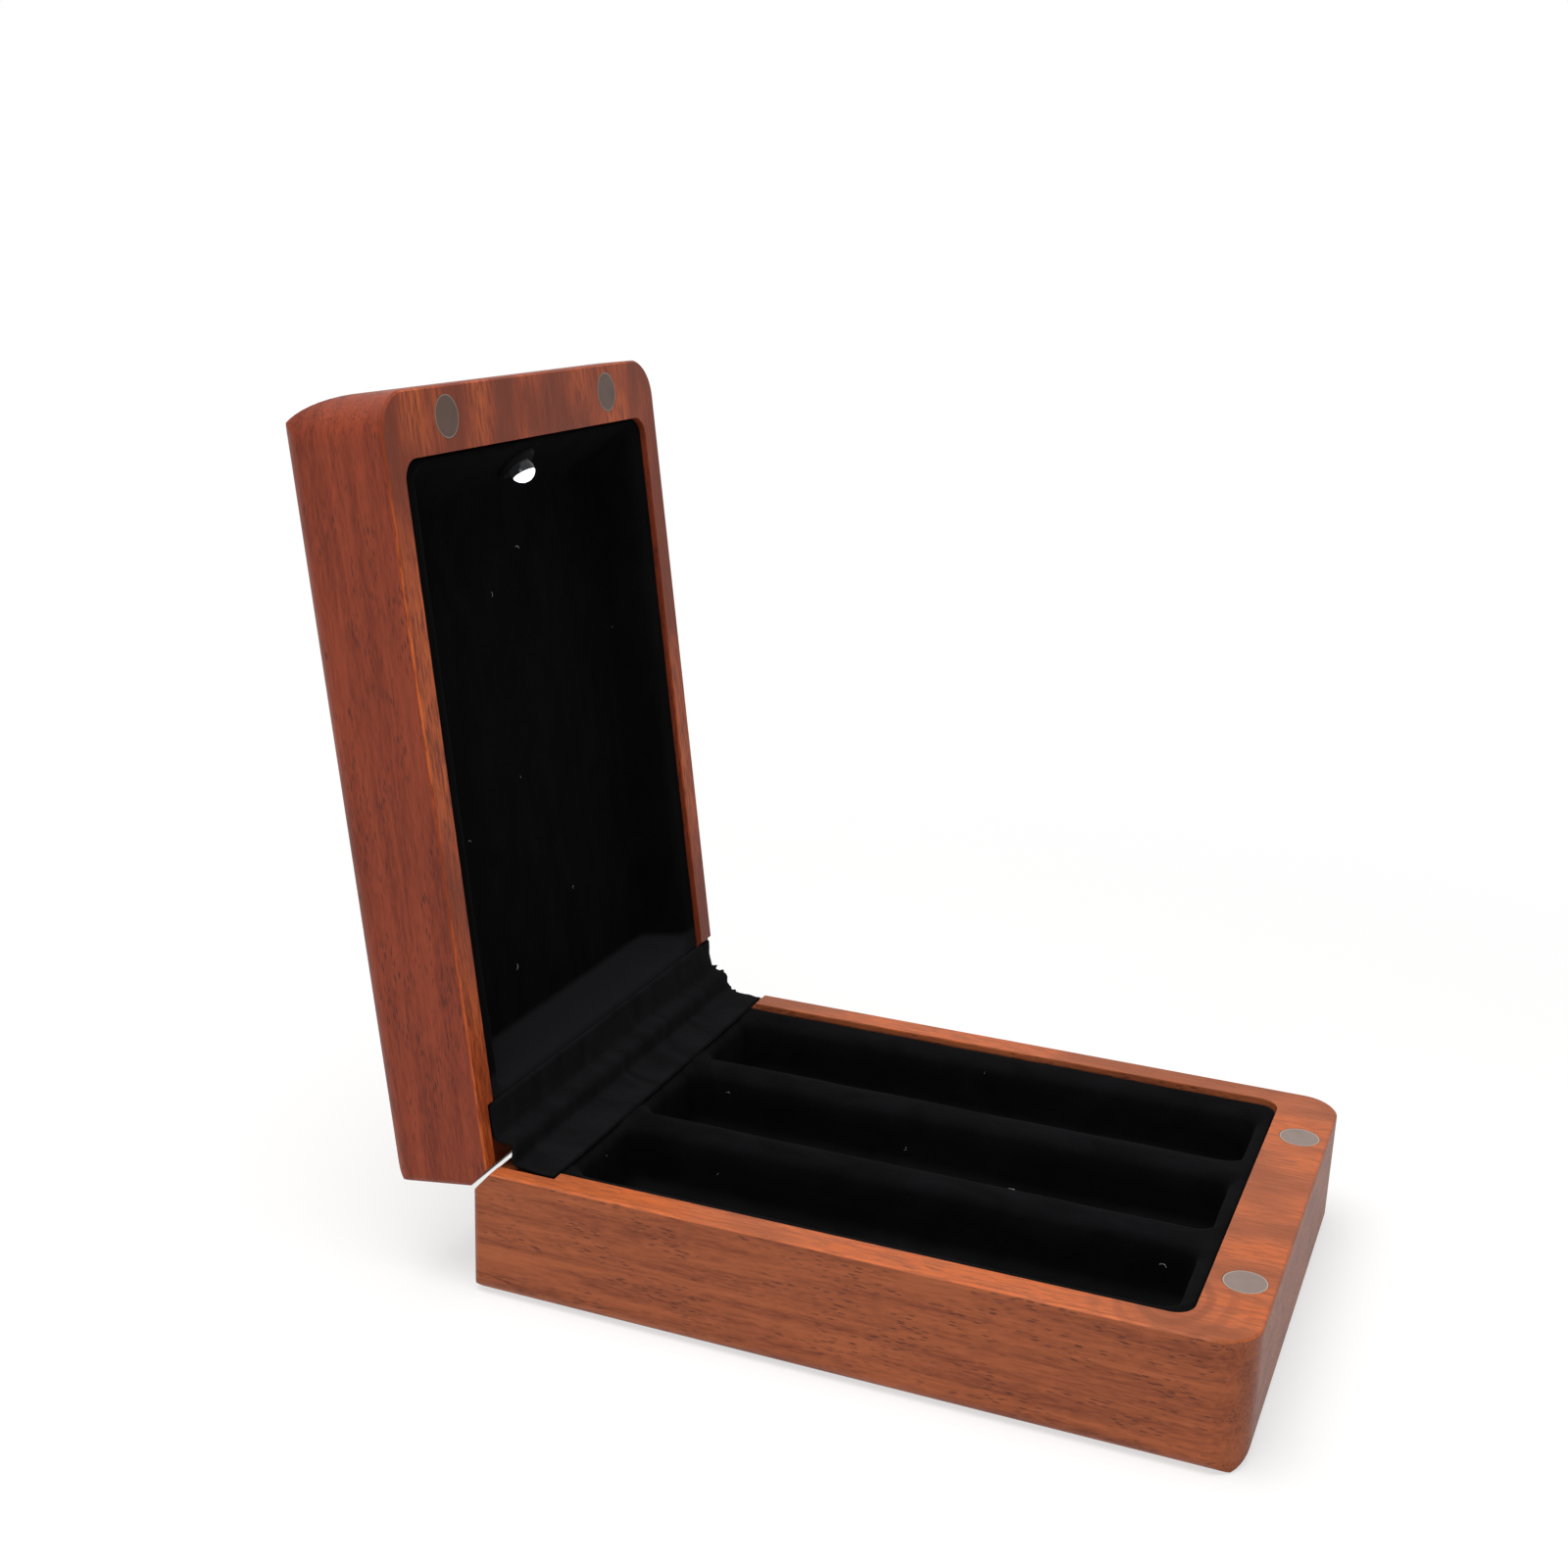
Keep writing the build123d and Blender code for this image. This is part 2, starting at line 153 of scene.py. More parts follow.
class ReedCaseLining(PropertyGroup):
    """Sizes and colours of both velvet linings"""

    slot_count: IntProperty(name="Slots", description="Slots side by side", default=3, min=1)
    slot_width: length("Slot width", "Clear width of one slot", 23.33)
    slot_ridge: length("Ridge", "Width of the ridge between two slots", 7.0)
    slot_depth: length("Slot depth", "Depth of a slot below the lining's top", 13.5)
    mouth: length("Mouth radius", "Rounding of the padded ridges", 3.0)
    bottom: length("Bottom radius", "Rounding along the foot of a slot", 2.6)
    rear_margin: length("Rear margin", "Lining behind the slots", 4.5)
    front_margin: length("Front margin", "Lining in front of the slots", 3.6)
    lid_depth: length("Lid depth", "Depth of the lid's padded recess", 12.0)
    cloth: length("Cloth", "Thickness of the velvet", 0.8)
    pile: colour("Velvet", "Black cotton velvet", "#080809")
    sheen: colour("Sheen", "Light caught by the tips of the pile", "#5c5e63")


class ReedCaseStrip(PropertyGroup):
    """Sizes of the velvet strip over the hinge"""

    near_end: length("Near end", "Where the strip ends towards the near side", 48.3)
    far_end: length("Far end", "Where the strip ends towards the far side", 51.5)
    reach: length("Reach", "From the rear face to the strip's edge", 15.2)
    fold: length("Fold", "Height of the soft fold over the hinge", 2.4)
    fray: length("Fray", "How far loose threads stand out at the far end", 1.6)


class ReedCaseLint(PropertyGroup):
    """Amount and size of the lint on the linings"""

    density: FloatProperty(
        name="Density", description="Fibres on a square metre of lining", default=560.0, min=0
    )
    fibre_length: length("Fibre length", "Length of a middling fibre", 1.1)
    fibre_radius: length("Fibre radius", "Radius of a fibre, drawn coarse to show", 0.035)


class ReedCaseLight(PropertyGroup):
    """Colour and brightness of the lamp in the lid"""

    glow: colour("Glow", "Cold white light of the lamp", "#e9f1ff")
    strength: FloatProperty(name="Strength", description="Brightness of the lens", default=5.0)


# Materials


def paint(tone, strength=1.0):
    """A colour as a socket takes it, made lighter or darker by a factor."""
    return (*(strength * c for c in tone), 1.0)


def new_material(name):
    """An empty material and its node tree."""
    material = bpy.data.materials.new(name)
    material.use_nodes = True
    material.node_tree.nodes.clear()
    return material, material.node_tree


def object_millimetres(tree, turn=0.0):
    """Object coordinates in millimetres, turned back about the hinge for the lid."""
    here = add(tree, "ShaderNodeTexCoord")
    changes = {
        "Vector": here.outputs["Object"],
        "Location": (PIVOT - Matrix.Rotation(turn, 3, "Y") @ PIVOT) / MM,
        "Rotation": (0, turn, 0),
        "Scale": (1 / MM,) * 3,
    }
    return add(tree, "ShaderNodeMapping", changes)


def grown(tree, place, size, kind="ShaderNodeTexNoise", **looks):
    """A natural pattern whose features have a real size in millimetres on each axis."""
    scale = tuple(1 / s for s in size)
    scaled = add(tree, "ShaderNodeMapping", {"Vector": place, "Scale": scale})
    return add(tree, kind, {"Vector": scaled, "Scale": 1.0, **looks})


def coated(tree, ground, *layers):
    """Lays tones over a ground in turn, each where its mask says and to a share."""
    for tone, mask, share in layers:
        amount = add(tree, "ShaderNodeMath", {0: mask, 1: share}, operation="MULTIPLY")
        over = add(tree, "ShaderNodeMix", {0: amount, 6: ground, 7: tone}, data_type="RGBA")
        ground = over.outputs[2]
    return ground


def surfaced(material, relief, depth, strength, looks):
    """Ends a material with its relief, of a real depth in millimetres, and its shader."""
    tree = material.node_tree
    raised = {"Strength": strength, "Distance": depth * MM, "Height": relief}
    bump = add(tree, "ShaderNodeBump", raised)
    shader = add(tree, "ShaderNodeBsdfPrincipled", {"Normal": bump, **looks})
    add(tree, "ShaderNodeOutputMaterial", {"Surface": shader})
    return material


def swirl(tree, place, eye):
    """Curved growth lines about a knot's eye, fading out away from it."""
    moved = add(tree, "ShaderNodeVectorMath", {0: place, 1: eye}, operation="SUBTRACT")
    bent = add(tree, "ShaderNodeMapping", {"Vector": moved, "Scale": (1.0, 0.62, 0.0)})
    looks = {
        "Vector": bent,
        "Scale": 0.085,
        "Distortion": 9.0,
        "Detail": 4.0,
        "Detail Scale": 0.28,
        "Detail Roughness": 0.6,
    }
    lines = add(tree, "ShaderNodeTexWave", looks, wave_type="RINGS", rings_direction="Z")
    drawn = {0: lines.outputs["Fac"], 1: 0.38, 2: 0.85, 4: 0.62}
    dark = add(tree, "ShaderNodeMapRange", drawn)
    away = add(tree, "ShaderNodeVectorMath", {0: bent}, operation="LENGTH")
    near = add(tree, "ShaderNodeMapRange", {0: away.outputs["Value"], 1: 16.0, 2: 6.0})
    return add(tree, "ShaderNodeMath", {0: dark, 1: near}, operation="MULTIPLY")


def hardwood(name, sizes, tones, turn, rim_height, eye=None):
    """Oiled red hardwood: straight grain along the case, short dark open pores in
    crowds, orange flecks, a satin film of oil, and a rim planed after staining."""
    material, tree = new_material(name)
    place = object_millimetres(tree, turn)
    side, dark, rim = tones
    stripe = sizes.stripe / MM
    stripes = (stripe * 11, stripe * 1.8, stripe * 0.75)
    pore = (sizes.pore_length / MM, sizes.pore_width / MM, sizes.pore_width / MM)
    broad = grown(tree, place, stripes, Detail=3.0, Roughness=0.55, Distortion=0.45)
    fine = grown(tree, place, (15, 0.75, 0.55), Detail=5.0, Roughness=0.66, Distortion=0.3)
    short = grown(tree, place, (4.2, 0.5, 0.5), Detail=3.0, Roughness=0.6)
    cloud = grown(tree, place, (38, 15, 9))
    crowd = grown(tree, place, (9, 3.2, 3.2), Roughness=0.6)
    dots = grown(tree, place, pore, "ShaderNodeTexVoronoi", Scale=0.62)

    wide = add(tree, "ShaderNodeMapRange", {0: broad, 1: 0.36, 2: 0.66, 4: 0.9})
    streaks = add(tree, "ShaderNodeMapRange", {0: fine, 1: 0.34, 2: 0.68})
    specks = add(tree, "ShaderNodeMapRange", {0: short, 1: 0.40, 2: 0.62})
    warm = add(tree, "ShaderNodeMapRange", {0: cloud, 1: 0.44, 2: 0.66, 4: 0.8})
    shaded = add(tree, "ShaderNodeMapRange", {0: cloud, 1: 0.52, 2: 0.38, 4: 0.65})
    clusters = add(tree, "ShaderNodeMapRange", {0: crowd, 1: 0.44, 2: 0.58, 3: 0.05, 4: 0.8})
    dashes = add(tree, "ShaderNodeMapRange", {0: dots, 1: 0.36, 2: 0.22})
    between = add(tree, "ShaderNodeMath", {0: 1.0, 1: specks}, operation="SUBTRACT")
    flecks = add(tree, "ShaderNodeMath", {0: between, 1: warm}, operation="MULTIPLY")

    # The planed rim is found by its height, and its pores are mostly filled
    parts = add(tree, "ShaderNodeSeparateXYZ", {0: place})
    heights = {0: parts.outputs["Z"], 1: rim_height / MM}
    above = add(tree, "ShaderNodeMath", heights, operation="SUBTRACT")
    apart = add(tree, "ShaderNodeMath", {0: above}, operation="ABSOLUTE")
    on_rim = add(tree, "ShaderNodeMapRange", {0: apart, 1: 0.45, 2: 0.25})
    open_share = add(
        tree, "ShaderNodeMath", {0: on_rim, 1: -0.7, 2: 1.0}, operation="MULTIPLY_ADD"
    )
    crowds = add(tree, "ShaderNodeMath", {0: dashes, 1: clusters}, operation="MULTIPLY")
    pores = add(tree, "ShaderNodeMath", {0: crowds, 1: open_share}, operation="MULTIPLY")

    layers = [
        (paint(rim, 0.52), streaks, 0.55),
        (paint(rim, 0.6), wide, 0.35),
        (paint(rim, 0.48), specks, 0.7),
        (paint(sizes.fleck), flecks, 1.0),
        (paint(rim, 0.42), shaded, 1.0),
    ]
    if eye:
        layers.insert(-1, (paint(rim, 0.42), swirl(tree, place, eye), 1.0))
    tone = coated(
        tree,
        paint(side),
        (paint(dark), wide, 1.0),
        (paint(side, 0.52), streaks, 0.42),
        (paint(side, 1.45), specks, 0.30),
        (coated(tree, paint(rim), *layers), on_rim, 1.0),
        (paint(sizes.pore), pores, 0.85),
    )
    raised = add(tree, "ShaderNodeMath", {0: specks, 1: 0.45}, operation="MULTIPLY")
    relief = add(tree, "ShaderNodeMath", {0: raised, 1: pores}, operation="SUBTRACT")
    looks = {
        "Base Color": tone,
        "Roughness": add(tree, "ShaderNodeMapRange", {0: fine, 1: 0.2, 2: 0.8, 3: 0.4, 4: 0.58}),
        "IOR": 1.5,
        "Specular IOR Level": 0.12,
        "Coat Weight": 0.1,
        "Coat Roughness": 0.25,
    }
    return surfaced(material, relief, 0.08, 0.5, looks)


def velvet(name, sizes, lift, glow, turn=0.0):
    """Black cotton velvet glued over a former: short pile that soaks up light face on,
    catches it at a glancing angle, and lies in soft strokes that show as mottling."""
    material, tree = new_material(name)
    place = object_millimetres(tree, turn)
    strokes = grown(tree, place, (14, 6, 9), Detail=3.0, Distortion=0.8)
    pile = grown(tree, place, (0.28,) * 3, Detail=3.0)
    lying = add(tree, "ShaderNodeMapRange", {0: strokes, 1: 0.34, 2: 0.70})
    tips = add(tree, "ShaderNodeMapRange", {0: pile, 1: 0.55, 2: 0.78, 4: 0.5})
    # lift scales the whole colour of the pile for one piece of velvet: painted light and shade,
    # set lighter on the tray and the hinge strip and darker in the lid's recess
    layers = [
        (paint(sizes.pile, 1.7 * lift), lying, 1.0),
        (paint(sizes.pile, 2.4 * lift), tips, 1.0),
    ]
    if turn:
        # Painted light: the lid's rear slope faces up to the light, so its pile is painted paler
        parts = add(tree, "ShaderNodeSeparateXYZ", {0: place})
        ends = {0: parts.outputs["X"], 1: TRAY_LOW.x / MM}
        forward = add(tree, "ShaderNodeMath", ends, operation="SUBTRACT")
        painted_slope_light = add(tree, "ShaderNodeMapRange", {0: forward, 1: 8.4, 2: 7.2})
        layers.append((paint(sizes.pile, 3.6), painted_slope_light, 1.0))
    heights = {0: strokes, 1: 3.0, 2: pile}
    relief = add(tree, "ShaderNodeMath", heights, operation="MULTIPLY_ADD")
    looks = {
        "Base Color": coated(tree, paint(sizes.pile, lift), *layers),
        "Roughness": 0.95,
        "Specular IOR Level": 0.02,
        "Sheen Weight": glow,
        "Sheen Roughness": 0.3,
        "Sheen Tint": paint(sizes.sheen),
    }
    return surfaced(material, relief, 0.12, 0.5, looks)


def handled(tree, place, size, tones, gloss):
    """The tone and gloss of handled metal, in cloudy patches of a given size."""
    patch = grown(tree, place, (size,) * 3, Detail=4.0)
    worn = add(tree, "ShaderNodeMapRange", {0: patch, 1: 0.3, 2: 0.75})
    ends = {0: patch, 1: 0.2, 2: 0.8, 3: gloss[0], 4: gloss[1]}
    return coated(tree, tones[0], (tones[1], worn, 1.0)), add(tree, "ShaderNodeMapRange", ends)


def metal(name, code, worn, rough, wear_size):
    """Plated or cut metal: an even bright ground with faint wear and fine turning marks."""
    material, tree = new_material(name)
    place = object_millimetres(tree)
    tones = (paint(srgb(code)), paint(srgb(worn)))
    tone, gloss = handled(tree, place, wear_size, tones, (rough, rough + 0.2))
    marks = grown(tree, place, (0.15, 1.8, 0.3))
    looks = {"Base Color": tone, "Metallic": 1.0, "Roughness": gloss}
    return surfaced(material, marks, 0.03, 0.12, looks)


def magnet_nickel(name, code, edge, turn, node):
    """Nickel plate on a pressed disc magnet: a dull even face, a thin brighter ring on the
    disc's broken edge as a painted highlight, a thin dark gap round it, and cloudy handling."""
    material, tree = new_material(name)
    place = object_millimetres(tree, turn)
    middle = middle_of(node)
    if turn:
        middle = OPENED.inverted() @ middle
    parts = add(tree, "ShaderNodeSeparateXYZ", {0: place})
    side = add(tree, "ShaderNodeMath", {0: parts.outputs["Y"]}, operation="ABSOLUTE")
    folded = add(tree, "ShaderNodeCombineXYZ", {0: parts.outputs["X"], 1: side})
    ends = {0: folded, 1: (middle.x / MM, abs(middle.y) / MM, 0)}
    radius = add(tree, "ShaderNodeVectorMath", ends, operation="DISTANCE").outputs["Value"]
    # Painted highlight: a brighter ring on the chamfer, where the edge catches the light
    chamfer_highlight = add(tree, "ShaderNodeMapRange", {0: radius, 1: 3.675, 2: 3.85})
    gap = add(tree, "ShaderNodeMapRange", {0: radius, 1: 3.925, 2: 3.975})
    tones = (paint(srgb(code)), paint(srgb(code), 0.84))
    tone, gloss = handled(tree, place, 5.0, tones, (0.28, 0.42))
    around = ((paint(srgb(edge)), chamfer_highlight, 1.0), (paint(srgb("#2e1c14")), gap, 1.0))
    looks = {"Base Color": coated(tree, tone, *around), "Metallic": 1.0, "Roughness": gloss}
    return surfaced(material, grown(tree, place, (0.3,) * 3), 0.03, 0.12, looks)


def moulded(name, code, light, rough, grain, shine=0.5):
    """Moulded plastic, foam or board: one colour with a fine grain from its mould."""
    material, tree = new_material(name)
    spots = grown(tree, object_millimetres(tree), (grain,) * 3, Detail=3.0)
    mask = add(tree, "ShaderNodeMapRange", {0: spots, 1: 0.35, 2: 0.7})
    looks = {
        "Base Color": coated(tree, paint(srgb(code)), (paint(srgb(light)), mask, 1.0)),
        "Roughness": rough,
        "IOR": 1.5,
        "Specular IOR Level": shine,
    }
    return surfaced(material, spots, 0.05, 0.3, looks)


def lit_lens(name, sizes):
    """Cast epoxy lens of a lit lamp: clear over its dark cup, with the bright die as a
    small hot patch behind the lower side of its nose."""
    material, tree = new_material(name)
    place = object_millimetres(tree)
    middle, way = bulb_axis()
    lit_side = (way + Vector((0.1, -0.1, -0.5))).normalized()
    ends = {0: place, 1: tuple(middle / MM)}
    moved = add(tree, "ShaderNodeVectorMath", ends, operation="SUBTRACT")
    ends = {0: moved, 1: tuple(lit_side)}
    ahead = add(tree, "ShaderNodeVectorMath", ends, operation="DOT_PRODUCT")
    hot = add(tree, "ShaderNodeMapRange", {0: ahead.outputs["Value"], 1: 1.5, 2: 1.7})
    power = {0: hot, 1: sizes.strength, 2: 0.01}
    cloud = grown(tree, place, (1.2,) * 3)
    white = add(tree, "ShaderNodeMapRange", {0: cloud, 1: 0.3, 2: 0.7})
    glow = paint(sizes.glow)
    looks = {
        "Base Color": coated(tree, paint(srgb("#0d0e10")), (glow, hot, 1.0)),
        "Roughness": 0.12,
        "IOR": 1.54,
        "Specular IOR Level": 0.3,
        "Emission Color": coated(tree, glow, (paint(srgb("#ffffff")), white, 1.0)),
        "Emission Strength": add(tree, "ShaderNodeMath", power, operation="MULTIPLY_ADD"),
    }
    shader = add(tree, "ShaderNodeBsdfPrincipled", looks)
    add(tree, "ShaderNodeOutputMaterial", {"Surface": shader})
    return material


def dress(material, *nodes):
    """Gives CAD nodes their finish."""
    for node in nodes:
        slots = frame["nodes"][node].data.materials
        slots.clear()
        slots.append(material)


# Mesh helpers


def middle_of(node):
    """The middle of a CAD node's corners."""
    points = [v.co for v in frame["nodes"][node].data.vertices]
    return sum(points, Vector()) / len(points)


def bulb_axis():
    """The middle of the lamp, and the way that its lens points from its board."""
    middle = middle_of("led_bulb")
    return middle, (middle - middle_of("led_board")).normalized()


def quarter(steps):
    """The angles of a quarter turn, from none to a right angle."""
    return [math.radians(90 * i / steps) for i in range(steps + 1)]


def pairs(loop):
    """The neighbours round a closed loop."""
    return list(zip(loop, loop[1:] + loop[:1]))


def shrunk(bounds, rear, front, side):
    """A rectangle drawn in at the rear, at the front and at both sides."""
    x_low, x_high, y_low, y_high = bounds
    return x_low + rear, x_high - front, y_low + side, y_high - side


def ring(bounds, radius, height, runs=(36, 8), turn=8):
    """Points of a rounded rectangle, anticlockwise seen from above."""
    x_low, x_high, y_low, y_high = bounds
    corners = (
        (x_high - radius, y_high - radius, 0),
        (x_low + radius, y_high - radius, 90),
        (x_low + radius, y_low + radius, 180),
        (x_high - radius, y_low + radius, 270),
    )

    def on_arc(x, y, degrees):
        a = math.radians(degrees)
        return Vector((x + radius * math.cos(a), y + radius * math.sin(a), height))

    points = []
    for k, (x, y, start) in enumerate(corners):
        points += [on_arc(x, y, start + 90 * i / turn) for i in range(turn + 1)]
        first, last = points[-1].copy(), on_arc(*corners[(k + 1) % 4])
        run = runs[k % 2]
        points += [first.lerp(last, i / run) for i in range(1, run)]
    return points


def skin(mesh, rings):
    """Joins rings of equal count with quads, and returns the rings' vertices."""
    loops = [[mesh.verts.new(p) for p in points] for points in rings]
    for outer, inner in zip(loops, loops[1:]):
        for (a, b), (d, c) in zip(pairs(outer), pairs(inner)):
            mesh.faces.new((a, b, c, d))
    return loops


def finished(mesh, name, material):
    """Turns a bmesh into a smooth object in the scene, with its place in its mesh."""
    data = bpy.data.meshes.new(name)
    for face in mesh.faces:
        face.smooth = True
    mesh.to_mesh(data)
    mesh.free()
    made = bpy.data.objects.new(name, data)
    bpy.context.scene.collection.objects.link(made)
    data.materials.append(material)
    return made


def settled(made):
    """Replaces an object's mesh by its evaluated one and drops its modifiers."""
    bpy.context.view_layer.update()
    graph = bpy.context.evaluated_depsgraph_get()
    data = bpy.data.meshes.new_from_object(made.evaluated_get(graph))
    made.modifiers.clear()
    old = made.data
    made.data = data
    bpy.data.meshes.remove(old)
    data.name = made.name


def thickened(made, thickness, offset):
    """Gives a skin of cloth its thickness."""
    thick = made.modifiers.new("Cloth", "SOLIDIFY")
    thick.thickness = thickness
    thick.offset = offset
    settled(made)


def soften(mesh, amount, size, seed, keep):
    """Moves vertices along their normals by smooth noise, as hand-laid cloth lies."""
    mesh.normal_update()
    moves = []
    for v in mesh.verts:
        here = v.co / size + Vector((seed, 0, 0))
        moves.append((v, v.normal * (noise.noise(here) * amount)))
    for v, move in moves:
        if not keep(v):
            v.co += move


def geometry_tree(name, inputs):
    """A geometry tree with named inputs, its input node, and a value for each input."""
    tree = bpy.data.node_groups.new(name, "GeometryNodeTree")
    face = tree.interface
    face.new_socket("Geometry", in_out="INPUT", socket_type="NodeSocketGeometry")
    values = {}
    for key, (kind, value) in inputs.items():
        socket = face.new_socket(key, in_out="INPUT", socket_type=f"NodeSocket{kind}")
        values[socket.identifier] = value
    face.new_socket("Geometry", in_out="OUTPUT", socket_type="NodeSocketGeometry")
    return tree, add(tree, "NodeGroupInput"), values


def with_nodes(made, tree, values):
    """Runs a geometry tree on an object and keeps the result as its mesh."""
    modifier = made.modifiers.new(tree.name, "NODES")
    modifier.node_group = tree
    for key, value in values.items():
        modifier[key] = value
    settled(made)


# Base lining

WELL_CORNER = 3.5 * MM  # corner of a slot, seen from above
LEAST_CORNER = 0.4 * MM
WELL_TAPER = 0.1 * MM  # how much a slot's wall draws in at each of its steps
FLOOR_INSETS = (4.2, 5.8, 7.6, 9.4, 11.0)  # rings on a slot's floor, in millimetres
LINING_CORNER = 3.9 * MM  # outer corner of both linings, seen from above
TRAY_SHOULDER = 4.0 * MM  # ring on the tray's side, below its top
TRAY_EDGE = (0.9 * MM, 1.2 * MM)  # rounding of the tray's outer edge: inwards, downwards
TRAY_STILL = 1.0 * MM  # height at the tray's foot that stays straight


def slot_rings(sizes, top):
    """One slot well about y = 0, from its padded mouth down to its floor."""
    bounds = (
        RECESS_LOW + sizes.rear_margin,
        RECESS_HIGH - sizes.front_margin,
        -sizes.slot_width / 2,
        sizes.slot_width / 2,
    )
    mouth, foot = sizes.mouth, sizes.bottom
    floor = top - sizes.slot_depth
    straight = sizes.slot_depth - mouth - foot
    levels = [(mouth * (1 - math.sin(a)), top - mouth * (1 - math.cos(a))) for a in quarter(8)]
    levels += [(-WELL_TAPER * i, top - mouth - straight * i / 4) for i in (1, 2, 3)]
    levels += [
        (-WELL_TAPER * 4 - foot * (1 - math.cos(a)), floor + foot * (1 - math.sin(a)))
        for a in quarter(5)
    ]
    levels += [(-inset * MM, floor) for inset in FLOOR_INSETS]
    return [
        ring(shrunk(bounds, -out, -out, -out), max(LEAST_CORNER, WELL_CORNER + out), height)
        for out, height in levels
    ]


def tray_block(mouth, places):
    """The tray's sides, foot and flat top, with a hole in the top at each slot's place."""
    mesh = bmesh.new()
    top = TRAY_HIGH.z
    inwards, downwards = TRAY_EDGE
    bounds = (TRAY_LOW.x, TRAY_HIGH.x, TRAY_LOW.y, TRAY_HIGH.y)
    levels = [(0, TRAY_FOOT), (0, top - TRAY_SHOULDER), (0, top - downwards)]
    levels += [
        (inwards * (1 - math.cos(a)), top - downwards * (1 - math.sin(a)))
        for a in quarter(5)[1:]
    ]
    rings = [
        ring(shrunk(bounds, inset, inset, inset), LINING_CORNER - inset, height, (36, 30))
        for inset, height in levels
    ]
    loops = skin(mesh, rings)
    mesh.faces.new(list(reversed(loops[0])))
    edges = [mesh.edges.get(pair) for pair in pairs(loops[-1])]
    for y in places:
        hole = [mesh.verts.new(p + Vector((0, y, 0))) for p in mouth]
        edges += [mesh.edges.new(pair) for pair in pairs(hole)]
    flat = bmesh.ops.triangle_fill(mesh, edges=edges, use_beauty=True)
    for face in flat["geom"]:
        if isinstance(face, bmesh.types.BMFace):
            face.normal_update()
            if face.normal.z < 0:
                face.normal_flip()
    return mesh


def slots_tree(sizes, material, well, pitch):
    """Geometry nodes that set the slot wells side by side into the lining's top."""
    inputs = {
        "Slots": ("Int", sizes.slot_count),
        "Pitch": ("Float", pitch),
        "Well": ("Object", well),
        "Finish": ("Material", material),
    }
    tree, given, values = geometry_tree("Slot Wells", inputs)
    count, step = given.outputs["Slots"], given.outputs["Pitch"]
    less = add(tree, "ShaderNodeMath", {0: count, 1: 1.0}, operation="SUBTRACT")
    span = add(tree, "ShaderNodeMath", {0: less, 1: step}, operation="MULTIPLY")
    half = add(tree, "ShaderNodeMath", {0: span, 1: -0.5}, operation="MULTIPLY")
    row = {
        "Count": count,
        "Start Location": add(tree, "ShaderNodeCombineXYZ", {"Y": half}),
        "Offset": add(tree, "ShaderNodeCombineXYZ", {"Y": step}),
    }
    line = add(tree, "GeometryNodeMeshLine", row)
    source = add(tree, "GeometryNodeObjectInfo", {"Object": given.outputs["Well"]})
    wells = {"Points": line, "Instance": source.outputs["Geometry"]}
    placed = add(tree, "GeometryNodeInstanceOnPoints", wells)
    joined = add(tree, "GeometryNodeJoinGeometry", {0: placed})
    tree.links.new(given.outputs["Geometry"], joined.inputs[0])
    real = add(tree, "GeometryNodeRealizeInstances", {"Geometry": joined})
    seams = {"Geometry": real, "Distance": 0.01 * MM}
    welded = add(tree, "GeometryNodeMergeByDistance", seams)
    coat = {"Geometry": welded, "Material": given.outputs["Finish"]}
    add(tree, "NodeGroupOutput", {0: add(tree, "GeometryNodeSetMaterial", coat)})
    return tree, values


class REEDCASE_OT_base_lining(Operator):
    """Makes the padded velvet tray with its long slots"""

    bl_idname = "reedcase.base_lining"
    bl_label = "Base Lining"

    def execute(self, context):
        sizes = context.scene.reedcase_lining
        # Painted light: the tray's velvet is drawn lighter, with a lift of 1.25
        finish = velvet("Black velvet, tray", sizes, 1.25, 0.12)
        pitch = sizes.slot_width + sizes.slot_ridge
        rings = slot_rings(sizes, TRAY_HIGH.z)
        mesh = bmesh.new()
        mesh.faces.new(skin(mesh, rings)[-1])
        well = finished(mesh, "slot_well", finish)
        places = [(k - (sizes.slot_count - 1) / 2) * pitch for k in range(sizes.slot_count)]
        made = finished(tray_block(rings[0], places), "base_lining", finish)
        with_nodes(made, *slots_tree(sizes, finish, well, pitch))
        bpy.data.objects.remove(well)

        mesh = bmesh.new()
        mesh.from_mesh(made.data)
        still = TRAY_FOOT + TRAY_STILL
        soften(mesh, 0.16 * MM, 11 * MM, 3.0, keep=lambda v: v.co.z < still)
        mesh.to_mesh(made.data)
        mesh.free()
        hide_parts("tray_velvet", "slot_tray")
        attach(made, "base")
        return {"FINISHED"}


# Lid lining

LID_HALF = 47.4 * MM  # half the width of the lid's velvet
LID_EDGE = 1.1 * MM  # from the lid's rim in to the velvet's outer edge
LID_HEM = 1.9 * MM  # how far the velvet's outer edge is turned down
LID_ROUND = (0.6 * MM, 1.0 * MM)  # rounding of that edge: inwards, downwards
LID_MOUTH = (4.45 * MM, 1.45 * MM, 42.3 * MM)  # mouth: from the rear, the front, half width
LID_LEVELS = (2.2 * MM, 0.7 * MM, 2.2 * MM)  # level strip before each slope
LID_SLOPES = (2.6 / 12.05, 9.0 / 12.05, 2.0 / 12.05)  # run over fall: rear, front, sides
LID_DROP = 1.6 * MM  # fall of the rounding between a level strip and its slope
LID_FOOT = 1.8 * MM  # rounding at the foot of the slopes
LID_INSETS = (4.5, 8, 12, 17, 23, 30, 36)  # rings on the padded floor, in millimetres
LID_CROWN = 0.5 * MM  # rise of the padding in the middle
LID_CORNERS = (3.0 * MM, 2.6 * MM)  # corner of the slopes and of the floor, from above
BULB_HOLE = (2.62 * MM, 14 * MM)  # hole for the lamp: radius, depth


